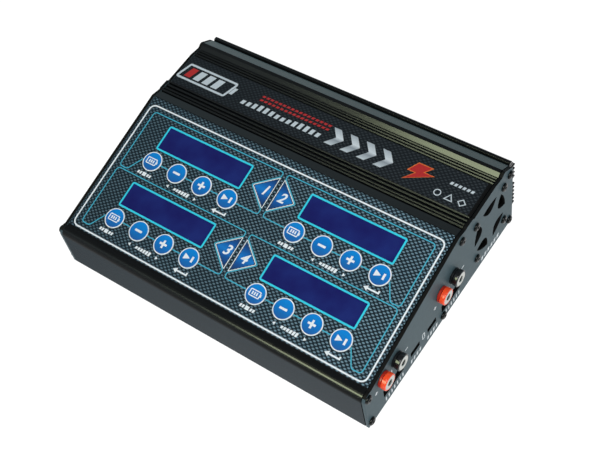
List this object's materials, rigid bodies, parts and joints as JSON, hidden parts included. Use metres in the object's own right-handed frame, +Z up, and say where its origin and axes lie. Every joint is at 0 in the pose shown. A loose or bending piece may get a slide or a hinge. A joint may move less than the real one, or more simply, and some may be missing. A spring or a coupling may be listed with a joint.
{
  "type": "balance battery charger",
  "caption": "Multi-channel balance battery charger: finned extruded case with a sloping key and display panel, side output sockets and a cooling fan.",
  "frame": {"origin": "middle of the footprint, on the surface that the rubber feet stand on", "axes": "+X along the case to the end plate with the fan, +Y to the finned rear wall, +Z up"},
  "size_m": [0.2336, 0.1688, 0.06],
  "materials": {
    "black_anodised": "satin black anodised extrusion",
    "grey_plate": "satin blue-grey paint",
    "panel_film": "printed film with a woven pattern",
    "title_film": "printed film with a faint woven pattern",
    "blue_key": "printed blue key with a white ring",
    "display_glass": "unlit blue display",
    "circuit_board": "solder mask",
    "transformer_core": "ferrite core with yellow tape",
    "black_plastic": "moulded",
    "red_plastic": "moulded",
    "black_screw": "black oxide",
    "socket_metal": "nickel plate",
    "foot_rubber": "matt"
  },
  "bodies": {
    "case": {"upper_case": "black_anodised", "base_plate": "black_anodised", "right_end_plate": "grey_plate", "left_end_plate": "grey_plate", "control_overlay": "panel_film", "title_overlay": "title_film", "display_1": "display_glass", "display_2": "display_glass", "display_3": "display_glass", "display_4": "display_glass", "panel_board": "circuit_board", "charger_board": "circuit_board", "supply_board": "circuit_board", "transformer": "transformer_core", "fan_frame": "black_plastic", "ac_inlet": "black_plastic", "dc_inlet": "black_plastic", "balance_socket_1": "black_plastic", "balance_socket_2": "black_plastic", "balance_socket_3": "black_plastic", "balance_socket_4": "black_plastic", "output_1_negative": "black_plastic", "output_2_negative": "black_plastic", "output_3_negative": "black_plastic", "output_4_negative": "black_plastic", "output_1_positive": "red_plastic", "output_2_positive": "red_plastic", "output_3_positive": "red_plastic", "output_4_positive": "red_plastic", "case_screw_front_bottom": "black_screw", "case_screw_front_top": "black_screw", "case_screw_middle_bottom": "black_screw", "case_screw_middle_top": "black_screw", "case_screw_rear_bottom": "black_screw", "case_screw_rear_top": "black_screw", "fan_screw_1": "black_screw", "fan_screw_2": "black_screw", "fan_screw_3": "black_screw", "fan_screw_4": "black_screw", "foot_front_left": "foot_rubber", "foot_rear_left": "foot_rubber", "foot_front_right": "foot_rubber", "foot_rear_right": "foot_rubber"},
    "fan_rotor": {"fan_rotor": "black_plastic"},
    "key_1_battery": {"key_1_battery": "blue_key"},
    "key_1_decrease": {"key_1_decrease": "blue_key"},
    "key_1_increase": {"key_1_increase": "blue_key"},
    "key_1_start": {"key_1_start": "blue_key"},
    "key_2_battery": {"key_2_battery": "blue_key"},
    "key_2_decrease": {"key_2_decrease": "blue_key"},
    "key_2_increase": {"key_2_increase": "blue_key"},
    "key_2_start": {"key_2_start": "blue_key"},
    "key_3_battery": {"key_3_battery": "blue_key"},
    "key_3_decrease": {"key_3_decrease": "blue_key"},
    "key_3_increase": {"key_3_increase": "blue_key"},
    "key_3_start": {"key_3_start": "blue_key"},
    "key_4_battery": {"key_4_battery": "blue_key"},
    "key_4_decrease": {"key_4_decrease": "blue_key"},
    "key_4_increase": {"key_4_increase": "blue_key"},
    "key_4_start": {"key_4_start": "blue_key"}
  },
  "joints": [
    {"name": "fan_spin", "type": "hinge", "parent": "case", "child": "fan_rotor", "pos_m": [0.1045, 0.05055, 0.032], "axis": [1, 0, 0], "continuous": true},
    {"name": "key_1_battery_press", "type": "slide", "parent": "case", "child": "key_1_battery", "axis": [0, 0.2425, -0.9701], "range_m": [0, 0.0004], "stiffness_N_per_m": 400, "springref_m": -0.0004},
    {"name": "key_1_decrease_press", "type": "slide", "parent": "case", "child": "key_1_decrease", "axis": [0, 0.2425, -0.9701], "range_m": [0, 0.0004], "stiffness_N_per_m": 400, "springref_m": -0.0004},
    {"name": "key_1_increase_press", "type": "slide", "parent": "case", "child": "key_1_increase", "axis": [0, 0.2425, -0.9701], "range_m": [0, 0.0004], "stiffness_N_per_m": 400, "springref_m": -0.0004},
    {"name": "key_1_start_press", "type": "slide", "parent": "case", "child": "key_1_start", "axis": [0, 0.2425, -0.9701], "range_m": [0, 0.0004], "stiffness_N_per_m": 400, "springref_m": -0.0004},
    {"name": "key_2_battery_press", "type": "slide", "parent": "case", "child": "key_2_battery", "axis": [0, 0.2425, -0.9701], "range_m": [0, 0.0004], "stiffness_N_per_m": 400, "springref_m": -0.0004},
    {"name": "key_2_decrease_press", "type": "slide", "parent": "case", "child": "key_2_decrease", "axis": [0, 0.2425, -0.9701], "range_m": [0, 0.0004], "stiffness_N_per_m": 400, "springref_m": -0.0004},
    {"name": "key_2_increase_press", "type": "slide", "parent": "case", "child": "key_2_increase", "axis": [0, 0.2425, -0.9701], "range_m": [0, 0.0004], "stiffness_N_per_m": 400, "springref_m": -0.0004},
    {"name": "key_2_start_press", "type": "slide", "parent": "case", "child": "key_2_start", "axis": [0, 0.2425, -0.9701], "range_m": [0, 0.0004], "stiffness_N_per_m": 400, "springref_m": -0.0004},
    {"name": "key_3_battery_press", "type": "slide", "parent": "case", "child": "key_3_battery", "axis": [0, 0.2425, -0.9701], "range_m": [0, 0.0004], "stiffness_N_per_m": 400, "springref_m": -0.0004},
    {"name": "key_3_decrease_press", "type": "slide", "parent": "case", "child": "key_3_decrease", "axis": [0, 0.2425, -0.9701], "range_m": [0, 0.0004], "stiffness_N_per_m": 400, "springref_m": -0.0004},
    {"name": "key_3_increase_press", "type": "slide", "parent": "case", "child": "key_3_increase", "axis": [0, 0.2425, -0.9701], "range_m": [0, 0.0004], "stiffness_N_per_m": 400, "springref_m": -0.0004},
    {"name": "key_3_start_press", "type": "slide", "parent": "case", "child": "key_3_start", "axis": [0, 0.2425, -0.9701], "range_m": [0, 0.0004], "stiffness_N_per_m": 400, "springref_m": -0.0004},
    {"name": "key_4_battery_press", "type": "slide", "parent": "case", "child": "key_4_battery", "axis": [0, 0.2425, -0.9701], "range_m": [0, 0.0004], "stiffness_N_per_m": 400, "springref_m": -0.0004},
    {"name": "key_4_decrease_press", "type": "slide", "parent": "case", "child": "key_4_decrease", "axis": [0, 0.2425, -0.9701], "range_m": [0, 0.0004], "stiffness_N_per_m": 400, "springref_m": -0.0004},
    {"name": "key_4_increase_press", "type": "slide", "parent": "case", "child": "key_4_increase", "axis": [0, 0.2425, -0.9701], "range_m": [0, 0.0004], "stiffness_N_per_m": 400, "springref_m": -0.0004},
    {"name": "key_4_start_press", "type": "slide", "parent": "case", "child": "key_4_start", "axis": [0, 0.2425, -0.9701], "range_m": [0, 0.0004], "stiffness_N_per_m": 400, "springref_m": -0.0004}
  ]
}
